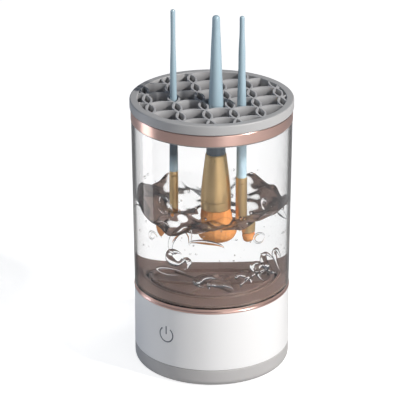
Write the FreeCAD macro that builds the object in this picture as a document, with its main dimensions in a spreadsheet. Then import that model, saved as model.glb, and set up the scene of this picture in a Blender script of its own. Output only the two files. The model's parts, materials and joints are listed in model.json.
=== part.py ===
import FreeCAD, Part
import math
import os
import Sketcher
from FreeCAD import Placement, Rotation, Vector

# Electric make-up brush cleaner. +Z is up, the front (power button side) is -Y, and the origin is
# the centre of the underside, on the surface that the base stands on. Millimetres throughout.

SIZES = {
    # base
    "body_radius": 48.0, "foot_height": 10.9, "foot_wall": 2.1, "foot_sole": 2.6, "foot_sole_radius": 38.5,
    "foot_edge": 4.0, "housing_low": 11.0, "base_top": 49.1, "housing_wall": 2.4, "spigot_radius": 45.8,
    "spigot_low": 3.0, "spigot_bore": 43.2, "well_radius": 41.2, "well_floor": 46.1, "deck_low": 43.9,
    "deck_step_radius": 43.4, "deck_step": 46.7, "edge_round": 0.5,
    "cover_radius": 43.0, "cover_low": 2.8, "cover_top": 5.2, "boss_radius": 3.2, "boss_circle": 33.0,
    "screw_hole": 1.25, "screw_shank": 1.2, "screw_reach": 15.0, "head_radius": 2.7, "head_bore": 3.0,
    "head_depth": 1.4,
    # motor and drive
    "motor_radius": 12.2, "motor_low": 16.0, "motor_top": 36.4, "nose_radius": 3.5, "nose_top": 37.9,
    "shaft_radius": 1.0, "shaft_low": 20.6, "motor_bore": 1.06, "motor_bore_low": 20.0,
    "plate_top": 38.1, "plate_length": 64.0, "plate_width": 22.0, "post_offset": 27.0,
    "motor_screw_offset": 8.0, "small_shank": 0.9, "small_hole": 0.95, "small_head": 1.9,
    "small_head_height": 0.8, "motor_screw_low": 33.4, "post_screw_top": 42.0,
    "holder_radius": 20.0, "holder_low": 39.6, "holder_top": 43.3, "magnet_circle": 14.0,
    "magnet_radius": 4.0, "magnet_pocket": 4.02, "magnet_height": 3.0,
    # electronics
    "board_low": 16.8, "board_thick": 1.6, "board_half": 19.0, "board_front": 18.0, "board_back": 38.0,
    "tab_half": 7.0, "tab_back": 44.0, "standoff_radius": 2.4, "standoff_x": 15.5, "standoff_front": 21.5,
    "standoff_back": 34.5, "socket_width": 8.94, "socket_height": 3.26, "socket_length": 7.35,
    "socket_front": 46.8, "socket_wall": 0.3, "tongue_width": 6.7, "tongue_thick": 0.7,
    "tongue_length": 5.6, "port_width": 9.5, "port_height": 3.8, "recess_width": 12.6,
    "recess_height": 6.8, "recess_depth": 0.9,
    "capacitor_radius": 2.5, "capacitor_tall": 6.0, "capacitor_x": 11.0, "capacitor_y": 32.5,
    "cell_radius": 9.2, "cell_low": 5.4, "cell_top": 40.4, "cell_forward": 31.5, "clip_bore": 9.35,
    "clip_radius": 10.5, "clip_top": 20.0,
    # power button, built facing -Y and then turned to its place
    "button_turn": 35.5, "button_height": 31.4, "button_radius": 6.4, "button_hole": 6.48,
    "button_back": 45.2, "flange_radius": 7.4, "flange_front": 44.8, "flange_back": 43.8,
    "stem_radius": 2.0, "stem_back": 42.6, "plunger_radius": 1.7, "plunger_bore": 1.76,
    "plunger_back": 40.6, "bore_back": 39.8, "switch_front": 41.6, "switch_back": 38.2,
    "switch_side": 6.0, "switch_board_back": 36.6, "switch_board_half": 7.5, "switch_board_tall": 12.0,
    "rib_thick": 1.6, "rib_tall": 9.0, "symbol_radius": 5.2, "symbol_line": 0.8, "symbol_depth": 0.4,
    "symbol_gap": 36.0, "bar_low": 0.3, "bar_top": 5.6,
    # tank
    "tank_low": 46.4, "tank_spigot": 40.4, "tank_ledge": 50.3, "tank_low_radius": 47.9,
    "tank_top_radius": 48.95, "tank_wall": 2.0, "band_low": 158.2, "neck_radius": 48.2,
    "tank_top": 164.1, "tank_floor": 52.6, "sump_radius": 38.3, "sump_floor": 48.7,
    "pin_boss": 4.0, "pin_boss_top": 50.6, "pin_radius": 1.5, "pin_low": 47.6, "pin_top": 59.4,
    "band_radius": 49.2, "band_top": 165.2, "band_lip": 47.1, "ring_radius": 48.15, "ring_low": 49.2,
    "plate_bore": 29.4, "floor_plate_radius": 45.5, "floor_plate_top": 54.0, "plate_bead": 0.7,
    "cap_radius": 3.4, "cap_low": 58.2, "cap_top": 61.0,
    # agitator
    "disc_radius": 28.0, "disc_low": 49.2, "disc_top": 53.4, "rim_inner": 26.2, "rim_top": 55.6,
    "hub_radius": 5.0, "hub_top": 57.9, "hub_low": 51.0, "bush_radius": 2.6, "bush_bore": 1.56,
    "fin_thick": 1.6, "fin_top": 54.9, "fin_start": 4.6, "fin_end": 26.6, "magnet_low": 49.3,
    # lid
    "lid_radius": 49.8, "lid_low": 165.4, "lid_top": 171.7, "lid_round": 0.9, "skirt_radius": 46.5,
    "skirt_low": 157.0, "skirt_bore": 45.1, "grid_top": 171.5, "grid_low": 162.0, "seal_low": 160.0,
    "seal_top": 161.6, "seal_radius": 46.92, "seal_groove": 45.9,
    "pitch": 16.0, "grid_turn": 8.6, "column_start": -7.0, "row_start": 2.4, "rib": 1.1,
    "lens_half": 2.5, "wide_half": 3.3, "row_rise": 3.0,
    "board_screw_low": 12.0, "driven_pocket": 3.1, "seal_bore": 45.9,
}

# Each brush: where it stands in the grid, then its turned outlines as (radius, height) corners from
# the lowest up. The handle's last corner is its tip and the bristles' first is theirs.
BRUSHES = {
    "detail_brush": {
        "stand": (-23.2, -1.1),
        "handle": [(2.2, 114.0), (2.2, 124.5), (2.65, 124.5), (2.3, 160.0), (1.9, 190.0), (1.5, 206.0),
                   (1.45, 227.5)],
        "ferrule": [(2.72, 99.8), (2.72, 124.5)],
        "bore": 2.2,
        "bristle": [(1.3, 84.3), (2.3, 87.5), (2.9, 94.0), (2.65, 99.8), (2.2, 99.8), (2.2, 105.0)],
        "tip_round": 1.3,
    },
    "powder_brush": {
        "stand": (2.5, -10.4),
        "handle": [(5.6, 128.0), (5.6, 139.6), (5.8, 139.6), (5.7, 146.0), (4.75, 162.5), (4.5, 171.4),
                   (3.57, 193.6), (3.0, 208.0), (2.5, 218.0), (2.3, 226.9)],
        "ferrule": [(9.2, 104.2), (9.25, 109.5), (9.1, 114.0), (8.6, 120.0), (7.55, 129.5), (6.3, 139.6)],
        "bore": 5.6,
        "bristle": [(4.2, 85.0), (7.6, 86.5), (9.3, 89.5), (9.8, 93.5), (9.6, 98.5), (9.1, 104.2),
                    (5.6, 104.2), (5.6, 108.2)],
        "tip_round": 2.1,
    },
    "concealer_brush": {
        "stand": (17.9, -11.5),
        "handle": [(2.8, 114.0), (2.8, 124.6), (3.12, 124.6), (2.75, 171.4), (2.15, 194.0), (2.05, 205.0),
                   (1.55, 216.0), (1.5, 226.8)],
        "ferrule": [(3.3, 91.5), (3.5, 99.0), (3.5, 124.6)],
        "bore": 2.8,
        "bristle": [(2.6, 85.0), (3.2, 86.8), (3.35, 89.5), (3.2, 91.5), (2.8, 91.5), (2.8, 96.0)],
        "tip_round": 1.3,
    },
}

# Boxes on the control board: left, right, front and back sides, and height above the board.
COMPONENTS = {
    "driver_chip": (-9.0, -4.0, 24.0, 29.0, 1.2),
    "charger_chip": (-1.0, 2.0, 31.0, 34.0, 0.9),
    "board_coil": (5.0, 10.0, 23.0, 28.0, 2.8),
    "battery_plug": (-12.0, -6.0, 31.5, 36.0, 3.6),
}
SIDES = ("left", "right", "near", "far", "tall")

COLUMNS = range(-3, 4)
SCREW_COUNT = 4
MAGNET_COUNT = 4
FIN_COUNT = 6

doc = FreeCAD.newDocument("brush_cleaner")
sheet = doc.addObject("Spreadsheet::Sheet", "Sizes")
for brush, facts in BRUSHES.items():
    SIZES[brush + "_x"], SIZES[brush + "_y"] = facts["stand"]
    SIZES[brush + "_bore"] = facts["bore"]
    SIZES[brush + "_tip_round"] = facts["tip_round"]
    for outline in ("handle", "ferrule", "bristle"):
        for place, (across, height) in enumerate(facts[outline]):
            SIZES["%s_%s_%d_radius" % (brush, outline, place)] = across
            SIZES["%s_%s_%d_height" % (brush, outline, place)] = height
for component, sides in COMPONENTS.items():
    for side, size in zip(SIDES, sides):
        SIZES[component + "_" + side] = size
for line, (word, number) in enumerate(SIZES.items(), start=1):
    sheet.set("A%d" % line, word)
    sheet.set("B%d" % line, str(number))
    sheet.setAlias("B%d" % line, word)
doc.recompute()

parts = []


def amount(words):
    """The value of a sum of sizes, written as "tank_radius - tank_wall"."""
    total = 0.0
    sign = 1.0
    for word in words.split():
        if word in ("+", "-"):
            sign = 1.0 if word == "+" else -1.0
        else:
            size = float(word) if word[0].isdigit() else float(sheet.get(word))
            total += sign * size
    return total


def formula(words):
    """The same sum as an expression that reads the sheet."""
    return " ".join("Sizes." + word if word[0].isalpha() else word for word in words.split())


def keep(piece, name):
    """Names a finished sub-part and puts it on the list to be written."""
    piece.Label = name
    parts.append(piece)
    return piece


def plane(body, role):
    for feature in body.Origin.OriginFeatures:
        if feature.Role == role:
            return feature


def sketch_on(body, name, role, height=None):
    """A sketch on one of the body's own planes, raised along its normal if a height is given."""
    sketch = body.newObject("Sketcher::SketchObject", name)
    sketch.AttachmentSupport = [(plane(body, role), "")]
    sketch.MapMode = "FlatFace"
    if height:
        sketch.setExpression(".AttachmentOffset.Base.z", formula(height))
    return sketch


def place_point(sketch, edge, x_words, y_words):
    """Ties the start of an edge to its two sizes."""
    for words, direction, axis in ((x_words, "DistanceX", -2), (y_words, "DistanceY", -1)):
        size = amount(words)
        if abs(size) < 1e-9:
            sketch.addConstraint(Sketcher.Constraint("PointOnObject", edge, 1, axis))
            continue
        number = sketch.addConstraint(Sketcher.Constraint(direction, -1, 1, edge, 1, size))
        sketch.setExpression("Constraints[%d]" % number, formula(words))


def draw_outline(sketch, outline):
    """A closed outline of straight edges through corners given as pairs of sums of sizes."""
    corners = [Vector(amount(x), amount(y), 0) for x, y in outline]
    for place, corner in enumerate(corners):
        following = corners[(place + 1) % len(corners)]
        sketch.addGeometry(Part.LineSegment(corner, following), False)
    for place in range(len(corners)):
        following = (place + 1) % len(corners)
        sketch.addConstraint(Sketcher.Constraint("Coincident", place, 2, following, 1))
    for place, (x_words, y_words) in enumerate(outline):
        place_point(sketch, place, x_words, y_words)


def turned(name, outline):
    """A body turned about the Z axis from an outline of (radius, height) corners."""
    body = doc.addObject("PartDesign::Body", name)
    sketch = sketch_on(body, name + "_outline", "XZ_Plane")
    draw_outline(sketch, outline)
    turn = body.newObject("PartDesign::Revolution", name + "_turn")
    turn.Profile = sketch
    turn.ReferenceAxis = (sketch, ["V_Axis"])
    turn.Angle = 360.0
    doc.recompute()
    return body


def rounded(body, radius, corners):
    """Rounds the turned edges that lie at the given (radius, height) corners."""
    places = [(amount(x), amount(y)) for x, y in corners]
    sharp = body.Tip
    chosen = []
    for number, edge in enumerate(sharp.Shape.Edges, start=1):
        if not isinstance(edge.Curve, Part.Circle):
            continue
        for across, height in places:
            if abs(edge.Curve.Radius - across) < 0.01 and abs(edge.Curve.Center.z - height) < 0.01:
                chosen.append("Edge%d" % number)
    assert len(chosen) >= len(places), "edge to round not found on " + body.Name
    fillet = body.newObject("PartDesign::Fillet", body.Name + "_round%d" % len(body.Group))
    fillet.Base = (sharp, chosen)
    fillet.setExpression("Radius", formula(radius))
    doc.recompute()
    return body


def drilled(body, radius, across, count, mouth, depth, start=0.0, upward=False):
    """Cuts round holes on a circle, downwards from their mouth or upwards from it."""
    before = body.Shape.Volume
    label = body.Name + "_hole%d" % len(body.Group)
    sketch = sketch_on(body, label + "_circle", "XY_Plane", mouth)
    angle = math.radians(start)
    centre = Vector(amount(across) * math.cos(angle), amount(across) * math.sin(angle), 0)
    sketch.addGeometry(Part.Circle(centre, Vector(0, 0, 1), amount(radius)), False)
    number = sketch.addConstraint(Sketcher.Constraint("Radius", 0, amount(radius)))
    sketch.setExpression("Constraints[%d]" % number, formula(radius))
    for direction, part in (("DistanceX", math.cos(angle)), ("DistanceY", math.sin(angle))):
        size = amount(across) * part
        if abs(size) < 1e-6:
            axis = -2 if direction == "DistanceX" else -1
            sketch.addConstraint(Sketcher.Constraint("PointOnObject", 0, 3, axis))
            continue
        number = sketch.addConstraint(Sketcher.Constraint(direction, -1, 1, 0, 3, size))
        sketch.setExpression("Constraints[%d]" % number, "(%s) * %.9f" % (formula(across), part))
    pocket = body.newObject("PartDesign::Pocket", label)
    pocket.Profile = sketch
    pocket.Type = 0
    pocket.Reversed = upward
    pocket.setExpression("Length", formula(depth))
    doc.recompute()
    if count > 1:
        pattern = body.newObject("PartDesign::PolarPattern", label + "_ring")
        pattern.Originals = [pocket]
        pattern.Axis = (sketch, ["N_Axis"]) if amount(across) == 0 else (plane(body, "Z_Axis"), [""])
        pattern.Angle = 360.0
        pattern.Occurrences = count
        body.Tip = pattern
        doc.recompute()
    assert body.Shape.Volume < before - 0.1, "nothing cut from " + body.Name
    return body


def span(low, top):
    return "(%s) - (%s)" % (formula(top), formula(low))


def primitive(kind, name, place, **sizes):
    """A Part primitive whose sizes and place are bound to the sheet."""
    piece = doc.addObject("Part::" + kind, name)
    for word, expression in sizes.items():
        piece.setExpression(word, expression)
    for axis, words in zip("xyz", place):
        piece.setExpression("Placement.Base." + axis, formula(words))
    return piece


def rod(name, radius, low, top, x="0", y="0"):
    """An upright round rod."""
    return primitive("Cylinder", name, (x, y, low), Radius=formula(radius), Height=span(low, top))


def level_rod(name, radius, front, back, height):
    """A round rod lying along Y between two distances in front of the centre."""
    piece = doc.addObject("Part::Cylinder", name)
    piece.Placement = Placement(Vector(0, -amount(front), amount(height)), Rotation(Vector(1, 0, 0), -90))
    piece.setExpression("Radius", formula(radius))
    piece.setExpression("Height", span(back, front))
    piece.setExpression("Placement.Base.y", "0 - (%s)" % formula(front))
    piece.setExpression("Placement.Base.z", formula(height))
    return piece


def block(name, x, y, z):
    """A box between pairs of (low, high) sums of sizes."""
    return primitive("Box", name, (x[0], y[0], z[0]), Length=span(*x), Width=span(*y), Height=span(*z))


def joined(name, pieces):
    result = doc.addObject("Part::MultiFuse", name)
    result.Shapes = pieces
    return result


def cut(name, base, tools):
    result = doc.addObject("Part::Cut", name)
    result.Base = base
    result.Tool = joined(name + "_tools", tools) if len(tools) > 1 else tools[0]
    doc.recompute()
    assert result.Shape.Volume < base.Shape.Volume - 0.01, "nothing cut from " + name
    return result


def common(name, base, tool):
    result = doc.addObject("Part::Common", name)
    result.Base = base
    result.Tool = tool
    return result


def swung(flat):
    """Turns a piece built facing -Y round to the power button's place."""
    piece = group(flat.Name + "_swung", [flat])
    piece.Placement = Placement(Vector(), Rotation(Vector(0, 0, 1), -amount("button_turn")))
    piece.setExpression("Placement.Rotation.Angle", "Sizes.button_turn * -1")
    doc.recompute()
    return piece


def around(count, start):
    """Directions evenly spaced round the axis, as (number, cosine, sine)."""
    for number in range(count):
        angle = math.radians(start + 360.0 * number / count)
        yield number, math.cos(angle), math.sin(angle)


def ring_of_rods(name, radius, circle, low, top, count, start):
    """Upright rods spaced evenly on a circle."""
    rods = []
    for number, across, along in around(count, start):
        piece = doc.addObject("Part::Cylinder", "%s_%d" % (name, number))
        piece.setExpression("Radius", formula(radius))
        piece.setExpression("Height", span(low, top))
        piece.setExpression("Placement.Base.x", "(%s) * %.9f" % (formula(circle), across))
        piece.setExpression("Placement.Base.y", "(%s) * %.9f" % (formula(circle), along))
        piece.setExpression("Placement.Base.z", formula(low))
        rods.append(piece)
    return rods


def group(name, pieces):
    """Separate solids kept as one sub-part."""
    result = doc.addObject("Part::Compound", name)
    result.Links = pieces
    return result


# --- base ---------------------------------------------------------------------------------------

def make_foot():
    foot = turned("foot_ring", [
        ("foot_sole_radius", "0"), ("body_radius", "0"), ("body_radius", "foot_height"),
        ("body_radius - foot_wall", "foot_height"), ("body_radius - foot_wall", "foot_sole"),
        ("foot_sole_radius", "foot_sole")])
    rounded(foot, "foot_edge", [("body_radius", "0")])
    rounded(foot, "edge_round", [("body_radius", "foot_height")])
    keep(foot, "foot_ring")


def make_housing():
    inner = "body_radius - housing_wall"
    shell = turned("housing_shell", [
        ("spigot_radius", "spigot_low"), ("spigot_radius", "housing_low"), ("body_radius", "housing_low"),
        ("body_radius", "base_top"), ("well_radius", "base_top"), ("well_radius", "well_floor"),
        ("0", "well_floor"), ("0", "deck_low"), ("deck_step_radius", "deck_low"),
        ("deck_step_radius", "deck_step"), (inner, "deck_step"), (inner, "housing_low + housing_wall"),
        ("spigot_bore", "housing_low"), ("spigot_bore", "spigot_low")])
    rounded(shell, "edge_round", [("body_radius", "base_top"), ("body_radius", "housing_low")])
    bosses = ring_of_rods("boss", "boss_radius", "boss_circle", "cover_top", "deck_low + 1", SCREW_COUNT, 45)
    posts = ring_of_rods("post", "boss_radius", "post_offset", "plate_top", "deck_low + 1", 2, 0)
    body = joined("housing_body", [shell, switch_ribs()] + bosses + posts)
    tools = ring_of_rods("boss_hole", "screw_hole", "boss_circle", "cover_top - 1", "screw_reach + 2",
                         SCREW_COUNT, 45)
    tools += ring_of_rods("post_hole", "small_hole", "post_offset", "plate_top - 1", "post_screw_top", 2, 0)
    tools.append(swung(level_rod("button_bore", "button_hole", "body_radius + 2", "button_back - 2",
                                 "button_height")))
    tools.append(port_opening("port_hole", "port_width", "port_height", "body_radius - 5"))
    tools.append(port_opening("port_recess", "recess_width", "recess_height", "body_radius - recess_depth"))
    keep(cut("base_housing", body, tools), "base_housing")


def switch_ribs():
    """Two upright ribs behind the front wall that the switch board is clipped to."""
    ribs = []
    for side, (low, high) in (("left", ("0 - switch_board_half - rib_thick - 0.5",
                                        "0 - switch_board_half - 0.5")),
                              ("right", ("switch_board_half + 0.5",
                                         "switch_board_half + 0.5 + rib_thick"))):
        ribs.append(block("switch_rib_" + side, (low, high), ("0 - body_radius + 1.5", "0 - switch_back"),
                          ("button_height - 4.5", "button_height - 4.5 + rib_tall")))
    return swung(joined("switch_ribs", ribs))


def round_ended(name, flat, height, wall="0"):
    """Rounds the ends of a flat box that runs along Y, to nearly half its height."""
    doc.recompute()
    fillet = doc.addObject("Part::Fillet", name)
    fillet.Base = flat
    radius = 0.49 * (amount(height) - 2 * amount(wall))
    along = [number for number, edge in enumerate(flat.Shape.Edges, start=1)
             if abs(edge.tangentAt(edge.FirstParameter).y) > 0.9]
    fillet.Edges = [(number, radius, radius) for number in along]
    doc.recompute()
    return fillet


def port_opening(name, wide, tall, back):
    """A slot with round ends through the back wall, centred on the charging socket."""
    slot = doc.addObject("Part::Box", name)
    slot.setExpression("Length", formula(wide))
    slot.setExpression("Height", formula(tall))
    slot.setExpression("Width", "Sizes.body_radius + 2 - (%s)" % formula(back))
    slot.setExpression("Placement.Base.x", "Sizes.%s * -0.5" % wide)
    slot.setExpression("Placement.Base.y", formula(back))
    slot.setExpression("Placement.Base.z", "Sizes.board_low + Sizes.board_thick "
                       "+ (Sizes.socket_height - Sizes.%s) * 0.5" % tall)
    return round_ended(name + "_round", slot, tall)


def make_cover():
    disc = rod("cover_disc", "cover_radius", "cover_low", "cover_top")
    standoffs = [rod("standoff_%d_%d" % (side > 0, row), "standoff_radius", "cover_top - 0.5", "board_low",
                     "standoff_x" if side > 0 else "0 - standoff_x", place)
                 for side in (-1, 1) for row, place in enumerate(("standoff_front", "standoff_back"))]
    body = joined("cover_body", [disc] + standoffs)
    tools = ring_of_rods("cover_hole", "screw_hole", "boss_circle", "0", "cover_top + 1", SCREW_COUNT, 45)
    tools += ring_of_rods("head_seat", "head_bore", "boss_circle", "0", "cover_low + head_depth",
                          SCREW_COUNT, 45)
    tools += board_rods("standoff_hole", "small_hole", "board_screw_low - 0.5", "board_low + 1")
    keep(cut("bottom_cover", body, tools), "bottom_cover")
    heads = ring_of_rods("screw_head", "head_radius", "boss_circle", "cover_low + 0.1",
                         "cover_low + head_depth", SCREW_COUNT, 45)
    shanks = ring_of_rods("screw_shank", "screw_shank", "boss_circle", "cover_low + 0.1", "screw_reach",
                          SCREW_COUNT, 45)
    screws = [joined("cover_screw_%d" % number, [heads[number], shanks[number]])
              for number in range(SCREW_COUNT)]
    keep(group("cover_screws", screws), "cover_screws")


def board_rods(name, radius, low, top):
    """Rods at the control board's four corners."""
    return [rod("%s_%d_%d" % (name, side > 0, row), radius, low, top,
                "standoff_x" if side > 0 else "0 - standoff_x", place)
            for side in (-1, 1) for row, place in enumerate(("standoff_front", "standoff_back"))]


def make_motor():
    can = turned("motor_body", [
        ("0", "motor_low"), ("motor_radius", "motor_low"), ("motor_radius", "motor_top"),
        ("nose_radius", "motor_top"), ("nose_radius", "nose_top"), ("motor_bore", "nose_top"),
        ("motor_bore", "motor_bore_low"), ("0", "motor_bore_low")])
    rounded(can, "edge_round", [("motor_radius", "motor_low"), ("motor_radius", "motor_top")])
    holes = ring_of_rods("motor_tap", "small_hole", "motor_screw_offset", "motor_screw_low - 0.3",
                         "motor_top + 1", 2, 0)
    keep(cut("motor_can", can, holes), "motor_can")

    strip = block("bracket_strip", ("plate_length * -0.5", "plate_length * 0.5"),
                  ("plate_width * -0.5", "plate_width * 0.5"), ("motor_top", "plate_top"))
    holes = [rod("bracket_nose", "nose_radius + 0.05", "motor_top - 1", "plate_top + 1")]
    holes += ring_of_rods("bracket_motor", "small_hole", "motor_screw_offset", "motor_top - 1",
                          "plate_top + 1", 2, 0)
    holes += ring_of_rods("bracket_post", "small_hole", "post_offset", "motor_top - 1", "plate_top + 1", 2, 0)
    keep(cut("motor_bracket", strip, holes), "motor_bracket")

    for name, circle, head, shank in (
            ("motor_screws", "motor_screw_offset", ("plate_top", "plate_top + small_head_height"),
             ("motor_screw_low", "plate_top")),
            ("bracket_screws", "post_offset", ("motor_top - small_head_height", "motor_top"),
             ("motor_top", "post_screw_top - 0.5"))):
        heads = ring_of_rods(name + "_head", "small_head", circle, head[0], head[1], 2, 0)
        shanks = ring_of_rods(name + "_shank", "small_shank", circle, shank[0], shank[1], 2, 0)
        screws = [joined("%s_%d" % (name, number), [heads[number], shanks[number]]) for number in (0, 1)]
        keep(group(name, screws), name)


def make_electronics():
    main = block("board_main", ("0 - board_half", "board_half"), ("board_front", "board_back"),
                 ("board_low", "board_low + board_thick"))
    tab = block("board_tab", ("0 - tab_half", "tab_half"), ("board_back - 1", "tab_back"),
                ("board_low", "board_low + board_thick"))
    keep(cut("control_board", joined("board_plate", [main, tab]),
             board_rods("board_hole", "small_hole", "board_low - 1", "board_low + board_thick + 1")),
         "control_board")
    top = "board_low + board_thick"
    heads = board_rods("board_head", "small_head", top, top + " + small_head_height")
    shanks = board_rods("board_shank", "small_shank", "board_screw_low", top)
    keep(group("board_screws", [joined("board_screw_%d" % number, [heads[number], shanks[number]])
                                for number in range(4)]), "board_screws")
    components = [block(name, (name + "_left", name + "_right"), (name + "_near", name + "_far"),
                        (top, top + " + " + name + "_tall")) for name in COMPONENTS]
    components.append(rod("board_capacitor", "capacitor_radius", top, top + " + capacitor_tall",
                          "capacitor_x", "capacitor_y"))
    keep(group("board_components", components), "board_components")

    back = "socket_front - socket_length"
    middle = top + " + socket_height * 0.5"
    shell = block("socket_shell", ("socket_width * -0.5", "socket_width * 0.5"), (back, "socket_front"),
                  (top, top + " + socket_height"))
    hollow = block("socket_hollow", ("socket_width * -0.5 + socket_wall", "socket_width * 0.5 - socket_wall"),
                   (back + " + 1.2", "socket_front + 1"),
                   (top + " + socket_wall", top + " + socket_height - socket_wall"))
    keep(cut("charging_socket", round_ended("socket_outside", shell, "socket_height"),
             [round_ended("socket_inside", hollow, "socket_height", "socket_wall")]), "charging_socket")
    keep(block("socket_tongue", ("tongue_width * -0.5", "tongue_width * 0.5"),
               (back + " + 1.2", back + " + 1.2 + tongue_length"),
               (middle + " - tongue_thick * 0.5", middle + " + tongue_thick * 0.5")), "socket_tongue")

    place = ("0", "0 - cell_forward")
    keep(rod("battery_cell", "cell_radius", "cell_low", "cell_top", *place), "battery_cell")
    cup = rod("clip_outside", "clip_radius", "cover_top", "clip_top", *place)
    keep(cut("battery_holder", cup, [rod("clip_inside", "clip_bore", "cell_low", "clip_top + 1", *place)]),
         "battery_holder")


def make_button():
    """The push button on the front wall, with the small switch that it presses."""
    outside = rod("button_outside", "body_radius", "0", "base_top")
    slug = level_rod("button_slug", "button_radius", "body_radius + 1", "button_back", "button_height")
    face = common("button_face", slug, outside)
    neck = level_rod("button_neck", "button_radius", "button_back + 0.5", "flange_front - 0.5", "button_height")
    flange = level_rod("button_flange", "flange_radius", "flange_front", "flange_back", "button_height")
    stem = level_rod("button_stem", "stem_radius", "flange_back + 0.5", "stem_back", "button_height")
    body = joined("button_body", [face, neck, flange, stem])

    # the generic power symbol: an open ring and a bar, let into the face
    ring = doc.addObject("Part::Cylinder", "symbol_disc")
    ring.Placement = Placement(
        Vector(0, -amount("body_radius + 1"), amount("button_height")),
        Rotation(Vector(1, 0, 0), -90) * Rotation(Vector(0, 0, 1), -90 + amount("symbol_gap")))
    ring.setExpression("Radius", formula("symbol_radius"))
    ring.setExpression("Height", "Sizes.symbol_depth + 2")
    ring.setExpression("Angle", "360 - Sizes.symbol_gap * 2")
    hole = level_rod("symbol_hole", "symbol_radius - symbol_line", "body_radius + 2", "body_radius - 2",
                     "button_height")
    open_ring = cut("symbol_ring", ring, [hole])
    bar = block("symbol_bar", ("symbol_line * -0.5", "symbol_line * 0.5"),
                ("0 - body_radius - 1", "0 - body_radius + 1"),
                ("button_height + bar_low", "button_height + bar_top"))
    skin = cut("symbol_skin", rod("symbol_outside", "body_radius", "0", "base_top"),
               [rod("symbol_core", "body_radius - symbol_depth", "0", "base_top")])
    symbol = common("symbol_inlay", joined("symbol_shape", [open_ring, bar]), skin)
    doc.recompute()
    keep(swung(cut("button_with_recess", body, [symbol])), "power_button")
    keep(swung(symbol), "button_symbol")
    keep(swung(level_rod("plunger_rod", "plunger_radius", "stem_back", "plunger_back", "button_height")),
         "switch_plunger")

    half = "switch_side * 0.5"
    case = block("switch_case", ("switch_side * -0.5", half), ("0 - switch_front", "0 - switch_back"),
                 ("button_height - 3", "button_height - 3 + switch_side"))
    bore = level_rod("switch_bore", "plunger_bore", "switch_front + 1", "bore_back", "button_height")
    keep(swung(cut("bored_case", case, [bore])), "tact_switch")
    keep(swung(block("switch_card", ("0 - switch_board_half - 2", "switch_board_half + 2"),
                     ("0 - switch_back", "0 - switch_board_back"),
                     ("button_height - 6", "button_height - 6 + switch_board_tall"))), "switch_board")


# --- drive rotor --------------------------------------------------------------------------------

def make_rotor():
    keep(rod("motor_shaft", "shaft_radius", "shaft_low", "holder_top"), "motor_shaft")
    holder = turned("magnet_holder", [
        ("shaft_radius", "holder_low"), ("holder_radius", "holder_low"), ("holder_radius", "holder_top"),
        ("shaft_radius", "holder_top")])
    drilled(holder, "magnet_pocket", "magnet_circle", MAGNET_COUNT, "holder_top", "magnet_height")
    keep(holder, "magnet_holder")
    keep(group("drive_magnets", ring_of_rods("drive_magnet", "magnet_radius", "magnet_circle",
                                             "holder_top - magnet_height", "holder_top",
                                             MAGNET_COUNT, 0)), "drive_magnets")


# --- tank ---------------------------------------------------------------------------------------

def make_tank():
    tank = turned("tank_shell", [
        ("0", "tank_low"), ("tank_spigot", "tank_low"), ("tank_spigot", "tank_ledge"),
        ("tank_low_radius", "tank_ledge"), ("tank_top_radius", "band_low"), ("neck_radius", "band_low"),
        ("neck_radius", "tank_top"), ("tank_top_radius - tank_wall", "tank_top"),
        ("tank_low_radius - tank_wall", "tank_floor"), ("sump_radius", "tank_floor"),
        ("sump_radius", "sump_floor"), ("pin_boss", "sump_floor"), ("pin_boss", "pin_boss_top"),
        ("pin_radius", "pin_boss_top"), ("pin_radius", "pin_low"), ("0", "pin_low")])
    rounded(tank, "edge_round", [("tank_spigot", "tank_low")])
    keep(tank, "tank_shell")
    keep(turned("tank_foot_ring", [
        ("tank_spigot + 0.1", "ring_low"), ("ring_radius", "ring_low"), ("ring_radius", "tank_ledge"),
        ("tank_spigot + 0.1", "tank_ledge")]), "tank_foot_ring")
    plate = turned("floor_plate", [
        ("plate_bore", "tank_floor"), ("floor_plate_radius", "tank_floor"),
        ("floor_plate_radius", "floor_plate_top"), ("plate_bore + 1.4", "floor_plate_top"),
        ("plate_bore + 1.4", "floor_plate_top + plate_bead"), ("plate_bore", "floor_plate_top + plate_bead")])
    keep(plate, "floor_plate")
    keep(rod("pivot_pin", "pin_radius", "pin_low", "pin_top"), "pivot_pin")
    cap = turned("pin_cap", [
        ("pin_radius", "cap_low"), ("cap_radius", "cap_low"), ("cap_radius", "cap_top"), ("0", "cap_top"),
        ("0", "pin_top"), ("pin_radius", "pin_top")])
    rounded(cap, "edge_round + 0.5", [("cap_radius", "cap_top")])
    keep(cap, "pin_cap")
    band = turned("trim_band", [
        ("neck_radius", "band_low"), ("band_radius", "band_low"), ("band_radius", "band_top"),
        ("band_lip", "band_top"), ("band_lip", "tank_top"), ("neck_radius", "tank_top")])
    rounded(band, "edge_round - 0.2", [("band_radius", "band_low"), ("band_radius", "band_top")])
    keep(band, "trim_band")


# --- agitator -----------------------------------------------------------------------------------

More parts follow.
